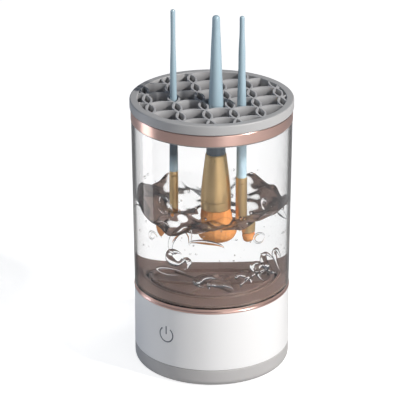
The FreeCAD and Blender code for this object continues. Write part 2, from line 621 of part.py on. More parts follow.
def make_agitator():
    disc = turned("agitator_turned", [
        ("bush_radius", "hub_low"), ("pin_boss + 0.6", "hub_low"), ("pin_boss + 0.6", "disc_low"),
        ("disc_radius", "disc_low"), ("disc_radius", "rim_top"), ("rim_inner", "rim_top"),
        ("rim_inner", "disc_top"), ("hub_radius", "disc_top"), ("hub_radius", "hub_top"),
        ("bush_radius", "hub_top")])
    rounded(disc, "edge_round + 0.2", [("disc_radius", "rim_top"), ("hub_radius", "hub_top")])
    drilled(disc, "magnet_pocket", "magnet_circle", MAGNET_COUNT, "disc_low", "driven_pocket", upward=True)
    fins = []
    for number in range(FIN_COUNT):
        fin = doc.addObject("Part::Box", "fin_%d" % number)
        fin.setExpression("Length", span("fin_start", "fin_end"))
        fin.setExpression("Width", formula("fin_thick"))
        fin.setExpression("Height", span("disc_top - 0.5", "fin_top"))
        turn = Rotation(Vector(0, 0, 1), 360.0 * number / FIN_COUNT)
        corner = turn.multVec(Vector(amount("fin_start"), -0.5 * amount("fin_thick"), 0))
        fin.Placement = Placement(corner + Vector(0, 0, amount("disc_top - 0.5")), turn)
        fins.append(fin)
    keep(joined("agitator_disc", [disc] + fins), "agitator_disc")
    keep(turned("agitator_bush", [
        ("bush_bore", "hub_low"), ("bush_radius", "hub_low"), ("bush_radius", "hub_top"),
        ("bush_bore", "hub_top")]), "agitator_bush")
    keep(group("driven_magnets", ring_of_rods("driven_magnet", "magnet_radius", "magnet_circle",
                                              "magnet_low", "magnet_low + magnet_height",
                                              MAGNET_COUNT, 0)), "driven_magnets")


# --- lid ----------------------------------------------------------------------------------------

def make_lid():
    ring = turned("lid_ring", [
        ("skirt_bore", "skirt_low"), ("skirt_radius", "skirt_low"), ("skirt_radius", "seal_low"),
        ("seal_groove", "seal_low"), ("seal_groove", "seal_top"), ("skirt_radius", "seal_top"),
        ("skirt_radius", "lid_low"), ("lid_radius", "lid_low"), ("lid_radius", "lid_top"),
        ("skirt_bore", "lid_top")])
    rounded(ring, "lid_round", [("lid_radius", "lid_top"), ("lid_radius", "lid_low")])
    keep(ring, "lid_ring")
    keep(turned("lid_seal", [
        ("seal_bore", "seal_low"), ("seal_radius - 0.1", "seal_low"), ("seal_radius - 0.1", "seal_top"),
        ("seal_bore", "seal_top")]), "lid_seal")


def arc_rib(start, end, rise):
    """An upright rib of even thickness along the arc from start to end that rises to one side."""
    chord = end - start
    half = 0.5 * chord.Length
    side = Vector(-chord.y, chord.x, 0).normalize()
    radius = (half * half + rise * rise) / (2 * abs(rise))
    towards = 1.0 if rise > 0 else -1.0
    middle = (start + end) * 0.5
    centre = middle - side * (towards * (radius - abs(rise)))
    thick = amount("rib")

    def point(place, across):
        ray = (place - centre).normalize()
        return centre + ray * (radius + across)

    top = middle + side * rise
    outer = Part.Arc(point(start, 0.5 * thick), point(top, 0.5 * thick), point(end, 0.5 * thick))
    inner = Part.Arc(point(end, -0.5 * thick), point(top, -0.5 * thick), point(start, -0.5 * thick))
    ends = [Part.LineSegment(outer.EndPoint, inner.StartPoint), Part.LineSegment(inner.EndPoint,
                                                                                 outer.StartPoint)]
    wire = Part.Wire([outer.toShape(), ends[0].toShape(), inner.toShape(), ends[1].toShape()])
    return wire


def make_grid():
    """Chains of lens-shaped cells one way, joined by arched ribs the other way."""
    pitch = amount("pitch")
    angle = math.radians(amount("grid_turn"))
    row_way = Vector(math.cos(angle), math.sin(angle), 0)
    column_way = Vector(-math.sin(angle), math.cos(angle), 0)
    low = amount("grid_low")
    height = amount("grid_top - grid_low")
    reach = amount("skirt_bore")
    brush_x, brush_y = BRUSHES["detail_brush"]["stand"]
    squeezed = Vector(brush_x, brush_y, 0)
    ribs = []
    for column in COLUMNS:
        for row in COLUMNS:
            lens = (row_way * (amount("column_start") + column * pitch)
                    + column_way * (amount("row_start") + row * pitch))
            foot = lens - column_way * (0.5 * pitch)
            head = lens + column_way * (0.5 * pitch)
            if foot.Length > reach + pitch:
                continue
            half = amount("lens_half")
            if (lens - squeezed).Length < 2.0:
                half = amount("wide_half")
            for wire in (arc_rib(foot, head, half), arc_rib(foot, head, -half),
                         arc_rib(foot, foot + row_way * pitch, amount("row_rise"))):
                ribs.append(Part.Face(wire).extrude(Vector(0, 0, height)))
            ribs.append(Part.makeCylinder(0.62 * amount("rib"), height, foot))
    lattice = ribs[0].multiFuse(ribs[1:]).removeSplitter()
    inside = Part.makeCylinder(reach, height)
    piece = doc.addObject("Part::Feature", "lid_grid")
    piece.Shape = lattice.common(inside)
    piece.Placement = Placement(Vector(0, 0, low), Rotation())
    keep(piece, "lid_grid")


# --- brushes ------------------------------------------------------------------------------------

def brush_corners(brush, outline):
    """The named corners of one of a brush's outlines, lowest first."""
    return [("%s_%s_%d_radius" % (brush, outline, place), "%s_%s_%d_height" % (brush, outline, place))
            for place in range(len(BRUSHES[brush][outline]))]


def stand(body, brush):
    body.setExpression("Placement.Base.x", formula(brush + "_x"))
    body.setExpression("Placement.Base.y", formula(brush + "_y"))
    return body


def make_brush(brush):
    handle = brush_corners(brush, "handle")
    body = turned(brush + "_handle", [("0", handle[0][1])] + handle + [("0", handle[-1][1])])
    rounded(body, brush + "_tip_round", [handle[-1]])
    keep(stand(body, brush), brush + "_handle")
    ferrule = brush_corners(brush, "ferrule")
    bore = brush + "_bore"
    keep(stand(turned(brush + "_ferrule", ferrule + [(bore, ferrule[-1][1]), (bore, ferrule[0][1])]),
               brush), brush + "_ferrule")
    bristle = brush_corners(brush, "bristle")
    keep(stand(turned(brush + "_bristles", [("0", bristle[0][1])] + bristle + [("0", bristle[-1][1])]),
               brush), brush + "_bristles")


make_foot()
make_housing()
make_cover()
make_motor()
make_electronics()
make_button()
make_rotor()
make_tank()
make_agitator()
make_lid()
make_grid()
for brush_name in BRUSHES:
    make_brush(brush_name)

doc.recompute()
for item in doc.Objects:
    assert "Invalid" not in item.State and "Error" not in item.State, item.Name + " failed"
os.makedirs("parts", exist_ok=True)
for piece in parts:
    assert not piece.Shape.isNull() and piece.Shape.isValid(), piece.Label + " has no sound shape"
    assert piece.Shape.Solids, piece.Label + " has no solid"
    piece.Shape.exportStep("parts/%s.step" % piece.Label)
    print("%-28s solids %d  volume %.1f" % (piece.Label, len(piece.Shape.Solids), piece.Shape.Volume))
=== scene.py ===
import json
import math
import random

import bpy
from mathutils import Euler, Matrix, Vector


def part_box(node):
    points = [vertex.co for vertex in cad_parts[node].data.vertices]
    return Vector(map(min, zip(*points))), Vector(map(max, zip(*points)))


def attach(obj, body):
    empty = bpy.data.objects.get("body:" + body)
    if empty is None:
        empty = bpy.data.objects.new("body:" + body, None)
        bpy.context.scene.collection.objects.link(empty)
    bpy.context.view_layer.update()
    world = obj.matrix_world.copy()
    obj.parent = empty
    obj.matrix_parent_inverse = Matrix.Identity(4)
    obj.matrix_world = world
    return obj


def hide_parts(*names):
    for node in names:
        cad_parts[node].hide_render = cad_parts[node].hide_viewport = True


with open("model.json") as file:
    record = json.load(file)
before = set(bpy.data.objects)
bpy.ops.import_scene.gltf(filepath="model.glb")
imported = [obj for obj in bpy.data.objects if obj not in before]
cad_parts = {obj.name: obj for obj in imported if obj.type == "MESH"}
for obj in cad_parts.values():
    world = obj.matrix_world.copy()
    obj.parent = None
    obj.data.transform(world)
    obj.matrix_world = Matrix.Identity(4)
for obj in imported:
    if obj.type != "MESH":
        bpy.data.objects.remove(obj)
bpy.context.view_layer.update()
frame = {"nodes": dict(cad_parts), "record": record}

# An electric brush cleaner: white motor base, clear tank of stirred water, rose-gold band, grey lid
# with a soft rib grid, and three make-up brushes. Metres, +Z up, front towards -Y.

MM = 0.001
FULL_TURN = 2 * math.pi


# --- stage: camera, lights and floor -------------------------------------------------------------

def place_camera():
    """Looks at the middle of the tank from the front, a little from above, with a long lens."""
    tilt = math.radians(22.97)
    distance = 1.509
    aim = Vector((-2.3, 0, 98.8)) * MM
    data = bpy.data.cameras.new("camera")
    data.lens = 212.3
    data.sensor_width = 36
    camera = bpy.data.objects.new("camera", data)
    camera.location = aim + Vector((0, -math.cos(tilt), math.sin(tilt))) * distance
    camera.rotation_euler = (math.pi / 2 - tilt, 0, 0)
    bpy.context.collection.objects.link(camera)
    bpy.context.scene.camera = camera


def soft_light(name, turn, lift, distance, size, power, colour):
    """A soft box aimed at the tank; turn is degrees round from the front towards the right."""
    aim = Vector((0, 0, 0.09))
    turn, lift = math.radians(turn), math.radians(lift)
    way = Vector((math.sin(turn) * math.cos(lift), -math.cos(turn) * math.cos(lift), math.sin(lift)))
    data = bpy.data.lights.new(name, "AREA")
    data.shape = "RECTANGLE"
    data.size, data.size_y = size
    data.energy = power
    data.color = colour
    light = bpy.data.objects.new(name, data)
    light.location = aim + way * distance
    light.rotation_euler = (-way).to_track_quat("-Z", "Y").to_euler()
    light.visible_camera = False
    light.visible_transmission = False
    bpy.context.collection.objects.link(light)


def light_the_stage():
    """A small warm key light, a broad front light, a cool one on the left, and a low one close to
    the left that the metal band mirrors, in a dim cool room."""
    soft_light("key_light", 58, 40, 1.6, (0.10, 0.10), 25, (1.0, 0.975, 0.94))
    soft_light("front_light", 24, 9, 1.8, (0.7, 0.9), 8.5, (1.0, 0.985, 0.97))
    soft_light("band_light", -98, -9, 0.27, (0.10, 0.12), 0.08, (1.0, 0.98, 0.97))
    soft_light("left_light", -103, 6, 1.3, (0.32, 0.8), 3.6, (0.66, 0.80, 1.0))
    world = bpy.data.worlds.new("studio")
    world.use_nodes = True
    backdrop = world.node_tree.nodes["Background"]
    backdrop.inputs["Color"].default_value = (0.70, 0.80, 1.0, 1)
    backdrop.inputs["Strength"].default_value = 0.12
    bpy.context.scene.world = world
    bpy.context.scene.view_settings.view_transform = "Standard"


def lay_floor():
    """A pale floor that glows where it is seen straight or through something clear, and gives no
    glow to the surfaces that stand on it."""
    width, below, glow, unbounced = 12, -0.0002, 0.82, 0.5
    bpy.ops.mesh.primitive_plane_add(size=width, location=(0, 0, below))
    floor = bpy.context.object
    floor.name = "floor"
    paint = bpy.data.materials.new("floor_paint")
    paint.use_nodes = True
    shader = paint.node_tree.nodes["Principled BSDF"]
    shader.inputs["Base Color"].default_value = (0.5, 0.5, 0.5, 1)
    shader.inputs["Roughness"].default_value = 0.9
    shader.inputs["Emission Color"].default_value = (1, 1, 1, 1)
    tree = paint.node_tree
    path = tree.nodes.new("ShaderNodeLightPath")
    bounced = calculation(tree, "ADD", path.outputs["Diffuse Depth"], path.outputs["Glossy Depth"])
    straight = calculation(tree, "LESS_THAN", bounced, unbounced)
    tree.links.new(calculation(tree, "MULTIPLY", straight, glow), shader.inputs["Emission Strength"])
    floor.data.materials.append(paint)


# --- materials -----------------------------------------------------------------------------------

def socket_pair(group, inputs, outputs):
    """Names a group's sockets, and returns its input and output nodes."""
    for name, kind, default in inputs:
        item = group.interface.new_socket(name, in_out="INPUT", socket_type="NodeSocket" + kind)
        item.default_value = default
    for name, kind in outputs:
        group.interface.new_socket(name, in_out="OUTPUT", socket_type="NodeSocket" + kind)
    return group.nodes.new("NodeGroupInput"), group.nodes.new("NodeGroupOutput")


COLOUR_MIX = (0, 6, 7)      # where a colour mix has its factor and its two colours


def mixed_colour(tree, factor, first, second):
    """A colour mix; each of the three may be a plain value or a socket."""
    mix = tree.nodes.new("ShaderNodeMix")
    mix.data_type = "RGBA"
    for place, value in zip(COLOUR_MIX, (factor, first, second)):
        socket = mix.inputs[place]
        if isinstance(value, bpy.types.NodeSocket):
            tree.links.new(value, socket)
        else:
            socket.default_value = value
    return mix.outputs[2]


def calculation(tree, operation, first, second=0.0, third=0.0):
    node = tree.nodes.new("ShaderNodeMath")
    node.operation = operation
    for socket, value in zip(node.inputs, (first, second, third)):
        if isinstance(value, bpy.types.NodeSocket):
            tree.links.new(value, socket)
        else:
            socket.default_value = value
    return node.outputs[0]


def eased(tree, value, start, end):
    """0 below start, 1 above end, and even between."""
    node = tree.nodes.new("ShaderNodeMapRange")
    node.inputs["From Min"].default_value = start
    node.inputs["From Max"].default_value = end
    tree.links.new(value, node.inputs["Value"])
    return node.outputs[0]


def surface_group():
    """Moulded or lacquered surface: cloudy tone, fine grain and a little smudging."""
    group = bpy.data.node_groups.new("Surface variation", "ShaderNodeTree")
    given, result = socket_pair(group, [
        ("Light", "Color", (1, 1, 1, 1)), ("Dark", "Color", (0.9, 0.9, 0.9, 1)),
        ("Cloud Scale", "Float", 25.0), ("Grain Scale", "Float", 1200.0),
        ("Roughness", "Float", 0.4), ("Smudge", "Float", 0.08)],
        [("Color", "Color"), ("Roughness", "Float"), ("Height", "Float")])
    place = group.nodes.new("ShaderNodeTexCoord").outputs["Object"]
    cloud = group.nodes.new("ShaderNodeTexNoise")
    cloud.inputs["Detail"].default_value = 3.0
    grain = group.nodes.new("ShaderNodeTexNoise")
    grain.inputs["Detail"].default_value = 2.0
    for noise, scale in ((cloud, "Cloud Scale"), (grain, "Grain Scale")):
        group.links.new(place, noise.inputs["Vector"])
        group.links.new(given.outputs[scale], noise.inputs["Scale"])
    group.links.new(mixed_colour(group, cloud.outputs[0], given.outputs["Dark"], given.outputs["Light"]),
                    result.inputs["Color"])
    average = 0.5
    swing = calculation(group, "MULTIPLY", calculation(group, "SUBTRACT", cloud.outputs[0], average),
                        given.outputs["Smudge"])
    group.links.new(calculation(group, "ADD", given.outputs["Roughness"], swing), result.inputs["Roughness"])
    group.links.new(grain.outputs[0], result.inputs["Height"])
    return group


SURFACE = surface_group()


def blank(name):
    """A new material, with its tree and its shader."""
    material = bpy.data.materials.new(name)
    material.use_nodes = True
    return material, material.node_tree, material.node_tree.nodes["Principled BSDF"]


def set_plain(shader, **values):
    """Sets constants on a shader's own sockets; coat_weight means the socket Coat Weight."""
    for words, value in values.items():
        name = words.replace("_", " ").title().replace("Ior", "IOR")
        shader.inputs[name].default_value = value


def bumped(tree, shader, height, strength, distance):
    bump = tree.nodes.new("ShaderNodeBump")
    bump.inputs["Strength"].default_value = strength
    bump.inputs["Distance"].default_value = distance
    tree.links.new(height, bump.inputs["Height"])
    tree.links.new(bump.outputs[0], shader.inputs["Normal"])


GRAIN_DEPTH = 0.0001
LINE_DEPTH = 0.00005


def surfaced(tree, shader, colour, shade, roughness, smudge, cloud, grain, bump):
    """Joins the shared surface variation to a shader."""
    node = tree.nodes.new("ShaderNodeGroup")
    node.node_tree = SURFACE
    dark = tuple(part * shade for part in colour)
    node.inputs["Light"].default_value = (*colour, 1)
    node.inputs["Dark"].default_value = (*dark, 1)
    node.inputs["Cloud Scale"].default_value = cloud
    node.inputs["Grain Scale"].default_value = grain
    node.inputs["Roughness"].default_value = roughness
    node.inputs["Smudge"].default_value = smudge
    tree.links.new(node.outputs["Color"], shader.inputs["Base Color"])
    tree.links.new(node.outputs["Roughness"], shader.inputs["Roughness"])
    bumped(tree, shader, node.outputs["Height"], bump, GRAIN_DEPTH)
    return node


def moulded(name, colour, roughness=0.4, shade=0.93, smudge=0.08, cloud=25.0, grain=1500.0,
            bump=0.15, **plain):
    """Plastic, rubber, lacquer or plated metal with the shared variation."""
    material, tree, shader = blank(name)
    surfaced(tree, shader, colour, shade, roughness, smudge, cloud, grain, bump)
    set_plain(shader, **plain)
    return material


def between_places(tree, axis, start, end):
    """0 on one side of a place along X, Y or Z, 1 past another, in millimetres."""
    parts = tree.nodes.new("ShaderNodeSeparateXYZ")
    tree.links.new(tree.nodes.new("ShaderNodeTexCoord").outputs["Object"], parts.inputs[0])
    return eased(tree, parts.outputs[axis], start * MM, end * MM)


def soft_ribs(name, colour, low, high, depth):
    """Soft rubber with painted shade: its colour darkens towards the bottom of the ribs, standing in for the
    shade deep between them, and is plain along their tops.
    """
    material, tree, shader = blank(name)
    node = surfaced(tree, shader, colour, shade=0.93, roughness=0.5, smudge=0.08, cloud=40, grain=1500,
                    bump=0.2)
    # painted shade: from low up to high the colour goes from the dark depth colour to the rubber's own
    # colour
    out_of_painted_shade = between_places(tree, "Z", low, high)
    shade = mixed_colour(tree, out_of_painted_shade, (*depth, 1), node.outputs["Color"])
    tree.links.new(shade, shader.inputs["Base Color"])
    return material


def lacquer_with_painted_shadow(name, colour, painted_shadow):
    """Pale blue lacquer, with a painted shadow of the lid on the lower end of the two brushes that stand
    further left, where the lid shades them from the key light on the right.
    """
    material, tree, shader = blank(name)
    node = surfaced(tree, shader, colour, shade=0.93, roughness=0.3, smudge=0.08, cloud=60, grain=700,
                    bump=0.06)
    # painted shadow of the lid: the colour turns dark between about 127 and 170 mm up, fully from 136 to 161
    # mm, and only left of x = 10 to 11 mm
    upper = between_places(tree, "Z", 170, 161)
    lower = between_places(tree, "Z", 127, 136)
    left = between_places(tree, "X", 11, 10)
    in_painted_shadow = calculation(tree, "MULTIPLY", calculation(tree, "MULTIPLY", upper, lower), left)
    shade = mixed_colour(tree, in_painted_shadow, node.outputs["Color"], (*painted_shadow, 1))
    tree.links.new(shade, shader.inputs["Base Color"])
    set_plain(shader, coat_weight=0.5, coat_roughness=0.12)
    return material


def drawn_metal(name, colour, shade, roughness, across, turned=0.0):
    """Metal with fine polishing lines; across says how close the lines lie along X, Y and Z, and
    turned how far the lines round it spread its highlights up and down."""
    spread = 0.12
    material, tree, shader = blank(name)
    place = tree.nodes.new("ShaderNodeTexCoord").outputs["Object"]
    mapping = tree.nodes.new("ShaderNodeMapping")
    mapping.inputs["Scale"].default_value = across
    tree.links.new(place, mapping.inputs["Vector"])
    lines = tree.nodes.new("ShaderNodeTexNoise")
    lines.inputs["Scale"].default_value = 1.0
    lines.inputs["Detail"].default_value = 4.0
    tree.links.new(mapping.outputs[0], lines.inputs["Vector"])
    dark = tuple(part * shade for part in colour)
    streaked = mixed_colour(tree, lines.outputs[0], (*dark, 1), (*colour, 1))
    tree.links.new(streaked, shader.inputs["Base Color"])
    rough = calculation(tree, "MULTIPLY_ADD", lines.outputs[0], spread, roughness - spread / 2)
    tree.links.new(rough, shader.inputs["Roughness"])
    set_plain(shader, metallic=1.0)
    if turned:
        tangent = tree.nodes.new("ShaderNodeTangent")
        tangent.direction_type = "RADIAL"
        tangent.axis = "Z"
        tree.links.new(tangent.outputs[0], shader.inputs["Tangent"])
        set_plain(shader, anisotropic=turned, anisotropic_rotation=0.25)
    bumped(tree, shader, lines.outputs[0], 0.06, LINE_DEPTH)
    return material


def outside_of(tree, start, end):
    """0 nearer the upright axis than one radius and 1 past another, in millimetres."""
    flat = tree.nodes.new("ShaderNodeVectorMath")
    flat.operation = "MULTIPLY"
    flat.inputs[1].default_value = (1, 1, 0)
    tree.links.new(tree.nodes.new("ShaderNodeTexCoord").outputs["Object"], flat.inputs[0])
    across = tree.nodes.new("ShaderNodeVectorMath")
    across.operation = "LENGTH"
    tree.links.new(flat.outputs[0], across.inputs[0])
    return eased(tree, across.outputs["Value"], start * MM, end * MM)


def clear_wall(name, colour, edge, ior, upright=(0.93, 0.99), level=(0.98, 1.0), rim=None):
    """Clear plastic or water. Lamps reach through it, and its colour is darkened where it is seen edge-on,
    a painted dark edge that stands in for the dark of the room refracted and mirrored there: between
    one pair of slants on upright faces, another on level ones, and a third on the outside of the tank,
    where a painted dark line stands in for the dark of the room that its wall gathers."""
    slope, wall_radius, lamplight_held_back = (0.35, 0.6), (47.2, 47.4), -0.94
    material, tree, shader = blank(name)
    facing = tree.nodes.new("ShaderNodeLayerWeight").outputs["Facing"]
    parts = tree.nodes.new("ShaderNodeSeparateXYZ")
    tree.links.new(tree.nodes.new("ShaderNodeNewGeometry").outputs["Normal"], parts.inputs[0])
    is_level = eased(tree, calculation(tree, "ABSOLUTE", parts.outputs["Z"]), *slope)
    # painted dark edge: the colour goes towards the edge colour as the surface turns edge-on
    painted_edge_dark = eased(tree, facing, *upright)
    if rim:
        painted_rim_line = calculation(tree, "MULTIPLY", outside_of(tree, *wall_radius), eased(tree, facing, *rim))
        painted_edge_dark = calculation(tree, "MAXIMUM", painted_edge_dark, painted_rim_line)
    on_walls = mixed_colour(tree, painted_edge_dark, (*colour, 1), (*edge, 1))
    on_levels = mixed_colour(tree, eased(tree, facing, *level), (*colour, 1), (*edge, 1))
    tree.links.new(mixed_colour(tree, is_level, on_walls, on_levels), shader.inputs["Base Color"])
    path = tree.nodes.new("ShaderNodeLightPath")
    passing = calculation(tree, "MULTIPLY_ADD", path.outputs["Is Shadow Ray"], lamplight_held_back, 1.0)
    tree.links.new(passing, shader.inputs["Alpha"])
    set_plain(shader, roughness=0.0, ior=ior, transmission_weight=1.0)
    return material


GLOSS = {"coat_weight": 0.15, "coat_roughness": 0.25}
PLATED = {"metallic": 1.0}

MOULDED = {
    # colour, roughness, how dark its clouds are, smudging, closeness of clouds and of grain, depth of
    # the grain, and what else its shader is told
    "white_shell": ((0.86, 0.86, 0.865), 0.38, 0.985, 0.05, 18, 900, 0.03, GLOSS),
    "button_white": ((0.86, 0.86, 0.865), 0.38, 0.985, 0.05, 18, 900, 0.03, GLOSS),
    "foot_grey": ((0.49, 0.48, 0.48), 0.55, 0.95, 0.1, 30, 1600, 0.2),
    "cover_grey": ((0.55, 0.55, 0.56), 0.6, 0.94, 0.08, 30, 1500, 0.4),
    "lid_grey": ((0.455, 0.455, 0.46), 0.42, 0.95, 0.08, 28, 1500, 0.15),
    "seal_grey": ((0.5, 0.5, 0.51), 0.5, 0.93),
    "symbol_grey": ((0.13, 0.14, 0.17), 0.35, 0.9),
    "floor_taupe": ((0.125, 0.078, 0.062), 0.3, 0.85, 0.1, 30, 900, 0.05),
    "agitator_taupe": ((0.11, 0.068, 0.055), 0.28, 0.85, 0.1, 40, 900, 0.05),
    "bristle_amber": ((0.80, 0.33, 0.085), 0.6, 0.6, 0.1, 900, 3000, 0.5),
    "board_green": ((0.02, 0.16, 0.07), 0.35, 0.7, 0.1, 300, 900, 0.3),
    "component_black": ((0.03, 0.03, 0.032), 0.5, 0.8, 0.1, 100, 1500, 0.2),
    "socket_black": ((0.025, 0.025, 0.028), 0.45, 0.8),
    "holder_black": ((0.04, 0.04, 0.042), 0.55, 0.85),
    "switch_black": ((0.03, 0.03, 0.032), 0.5, 0.85),
    "holder_white": ((0.72, 0.72, 0.70), 0.5, 0.92),
    "bush_white": ((0.75, 0.75, 0.72), 0.45, 0.92),
    "cell_wrap": ((0.06, 0.16, 0.33), 0.3, 0.85, 0.1, 60, 900, 0.1),
    "screw_steel": ((0.60, 0.59, 0.57), 0.32, 0.8, 0.15, 200, 2500, 0.2, PLATED),
    "magnet_nickel": ((0.62, 0.60, 0.57), 0.18, 0.85, 0.1, 120, 900, 0.05, PLATED),
}

DRAWN = {
    # colour, how dark its lines are, roughness, closeness of the lines along X, Y and Z, and how far
    # they spread its highlights
    "motor_steel": ((0.55, 0.55, 0.56), 0.75, 0.35, (80, 80, 3000)),
    "bracket_steel": ((0.52, 0.52, 0.53), 0.75, 0.38, (60, 2600, 60)),
    "socket_steel": ((0.66, 0.66, 0.67), 0.85, 0.25, (100, 100, 4000)),
    "shaft_steel": ((0.62, 0.62, 0.63), 0.85, 0.22, (100, 100, 5000)),
    "rose_gold": ((0.86, 0.58, 0.51), 0.9, 0.30, (40, 40, 6000), 0.6),
    "ferrule_gold": ((0.90, 0.63, 0.31), 0.88, 0.3, (900, 900, 30)),
}


def make_finishes():
    """One material for each of the record's slots."""
    finishes = {}
    for name, values in MOULDED.items():
        more = values[-1] if isinstance(values[-1], dict) else {}
        numbers = values[:-1] if more else values
        finishes[name] = moulded(name, *numbers, **more)
    for name, values in DRAWN.items():
        finishes[name] = drawn_metal(name, *values)
    # the second colour is the painted dark edge of the tank, seen where its wall turns edge-on
    finishes["tank_clear"] = clear_wall("tank_clear", (0.985, 0.985, 0.985), (0.07, 0.065, 0.06), 1.47,
                                        rim=(0.69, 0.77))
    # the last colour is the painted shade deep between the ribs, from 163 mm up to 170.5 mm
    finishes["grid_grey"] = soft_ribs("grid_grey", (0.50, 0.50, 0.51), 163.0, 170.5, (0.07, 0.07, 0.08))
    # the second colour is the painted shadow of the lid on the handles
    finishes["handle_blue"] = lacquer_with_painted_shadow("handle_blue", (0.40, 0.54, 0.62), (0.045, 0.07, 0.095))
    return finishes


# --- modelling helpers ---------------------------------------------------------------------------

def deselect_all():
    bpy.ops.object.select_all(action="DESELECT")


def begin(name, point):
    """A new mesh of one vertex at a point, in edit mode."""
    deselect_all()
    bpy.ops.mesh.primitive_plane_add(size=MM, location=(0, 0, 0))
    piece = bpy.context.object
    piece.name = name
    piece.data.name = name
    bpy.ops.object.mode_set(mode="EDIT")
    bpy.ops.mesh.select_all(action="SELECT")
    bpy.ops.mesh.merge(type="CENTER")
    bpy.ops.transform.translate(value=point)
    return piece


def draw_on(here, there):
    """Extrudes the selected vertex on to the next point."""
    bpy.ops.mesh.extrude_region_move(TRANSFORM_OT_translate={"value": there - here})
    return there


def finish_mesh():
    """Joins the seam and the poles, turns all faces outwards and leaves edit mode."""
    seam = 0.000002
    bpy.ops.mesh.select_all(action="SELECT")
    bpy.ops.mesh.remove_doubles(threshold=seam)
    bpy.ops.mesh.normals_make_consistent(inside=False)
    bpy.ops.object.mode_set(mode="OBJECT")


def spun(name, outline, steps=128, centre=(0, 0)):
    """A turned piece: its outline of (radius, height) in millimetres is drawn and spun about an
    upright axis. The outline closes on itself, or starts and ends on the axis."""
    on_axis = 0.001
    shift = Vector((centre[0], centre[1], 0)) * MM
    points = [Vector((across * MM, 0, height * MM)) + shift for across, height in outline]
    piece = begin(name, points[0])
    here = points[0]
    for there in points[1:]:
        here = draw_on(here, there)
    if outline[0][0] > on_axis or outline[-1][0] > on_axis:
        draw_on(here, points[0])
    bpy.ops.mesh.select_all(action="SELECT")
    bpy.ops.mesh.spin(steps=steps, angle=FULL_TURN, center=shift, axis=(0, 0, 1))
    finish_mesh()
    return piece


def picked(piece):
    """Selects one piece only."""
    deselect_all()
    piece.select_set(True)
    bpy.context.view_layer.objects.active = piece


def modified(piece, kind, **settings):
    """Adds a modifier and applies it."""
    picked(piece)
    modifier = piece.modifiers.new(kind.title(), kind)
    for word, value in settings.items():
        setattr(modifier, word, value)
    bpy.ops.object.modifier_apply(modifier=modifier.name)
    return piece


def softened(piece, width, segments=3, angle=35):
    """Rounds the sharp edges, and shades smoothly across the gentle ones."""
    if width:
        modified(piece, "BEVEL", width=width * MM, segments=segments, limit_method="ANGLE",
                 angle_limit=math.radians(angle), use_clamp_overlap=True)
    picked(piece)
    bpy.ops.object.shade_smooth_by_angle(angle=math.radians(angle))
    return modified(piece, "WEIGHTED_NORMAL", keep_sharp=True)


def arc(across, height, radius, start, end, steps=6):
    """Points of an arc about (across, height), in degrees anticlockwise from straight out."""
    turns = [math.radians(start + (end - start) * step / steps) for step in range(steps + 1)]
    return [(across + radius * math.cos(turn), height + radius * math.sin(turn)) for turn in turns]


def seen_as(piece, slot, body, *nodes):
    """Gives a piece its finish, its body and the CAD nodes that it stands for."""
    piece.data.materials.clear()
    piece.data.materials.append(FINISH[slot])
    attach(piece, body)
    if nodes:
        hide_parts(*nodes)
    return piece


def size_of(node):
    """Lowest and highest corner of a CAD node, in millimetres."""
    low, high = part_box(node)
    return low / MM, high / MM


def refined(node, name, width, segments=2, angle=35):
    """A copy of a CAD node with its triangles merged and its edges rounded."""
    weld, flat = 0.000005, math.radians(1.0)
    piece = bpy.data.objects.new(name, frame["nodes"][node].data.copy())
    bpy.context.collection.objects.link(piece)
    picked(piece)
    bpy.ops.object.mode_set(mode="EDIT")
    bpy.ops.mesh.select_all(action="SELECT")
    bpy.ops.mesh.remove_doubles(threshold=weld)
    bpy.ops.mesh.dissolve_limited(angle_limit=flat)
    bpy.ops.object.mode_set(mode="OBJECT")
    return softened(piece, width, segments, angle)


def gathered(name, corners, faces):
    """One piece from the corners and faces of many small copies."""
    mesh = bpy.data.meshes.new(name)
    mesh.from_pydata(corners, [], faces)
    piece = bpy.data.objects.new(name, mesh)
    bpy.context.collection.objects.link(piece)
    return piece


def record_slot(node):
    """The slot that the record gives a CAD node."""
    for subpart in frame["record"]["subparts"]:
        if subpart["node"] == node:
            return subpart["material_slot"]


def finish_cad_nodes():
    """Every CAD node that stays gets its finish."""
    for name, node in frame["nodes"].items():
        node.data.materials.clear()
        node.data.materials.append(FINISH[record_slot(name)])


# --- base ----------------------------------------------------------------------------------------

def make_foot():
    """The grey foot: a ring with a well-rounded lower edge."""
    low, high = size_of("foot_ring")
    radius, wall, sole, hole, edge, lip = high.x, 2.1, 2.6, 38.5, 4.0, 0.5
    outline = [(hole, low.z)] + arc(radius - edge, low.z + edge, edge, -90, 0, 10)
    outline += arc(radius - lip, high.z - lip, lip, 0, 90, 4)
    outline += [(radius - wall, high.z), (radius - wall, low.z + sole), (hole, low.z + sole)]
    piece = softened(spun("foot", outline, 160), width=0.15, segments=1)
    seen_as(piece, "foot_grey", "base", "foot_ring")


def taken_out(piece, cutter):
    """Cuts one piece away from another, and removes the cutter."""
    modified(piece, "BOOLEAN", object=cutter, operation="DIFFERENCE", solver="EXACT")
    bpy.data.objects.remove(cutter)


def slot_cutter(width, height, back, level):
    """A cutter with round ends for the charging opening, from a depth out through the back."""
    depth, roundness = 10, 0.49
    deselect_all()
    bpy.ops.mesh.primitive_cube_add(size=1)
    cutter = bpy.context.object
    bpy.ops.object.mode_set(mode="EDIT")
    bpy.ops.transform.resize(value=(width * MM, depth * MM, height * MM))
    bpy.ops.transform.translate(value=(0, (back + depth / 2) * MM, level * MM))
    bpy.ops.mesh.select_mode(type="EDGE")
    bpy.ops.mesh.select_all(action="DESELECT")
    bpy.ops.object.mode_set(mode="OBJECT")
    for edge in cutter.data.edges:
        first, second = (cutter.data.vertices[end].co for end in edge.vertices)
        edge.select = abs(first.y - second.y) > MM
    bpy.ops.object.mode_set(mode="EDIT")
    bpy.ops.mesh.bevel(offset=roundness * height * MM, segments=8, affect="EDGES")
    bpy.ops.mesh.select_mode(type="VERT")
    bpy.ops.object.mode_set(mode="OBJECT")
    return cutter


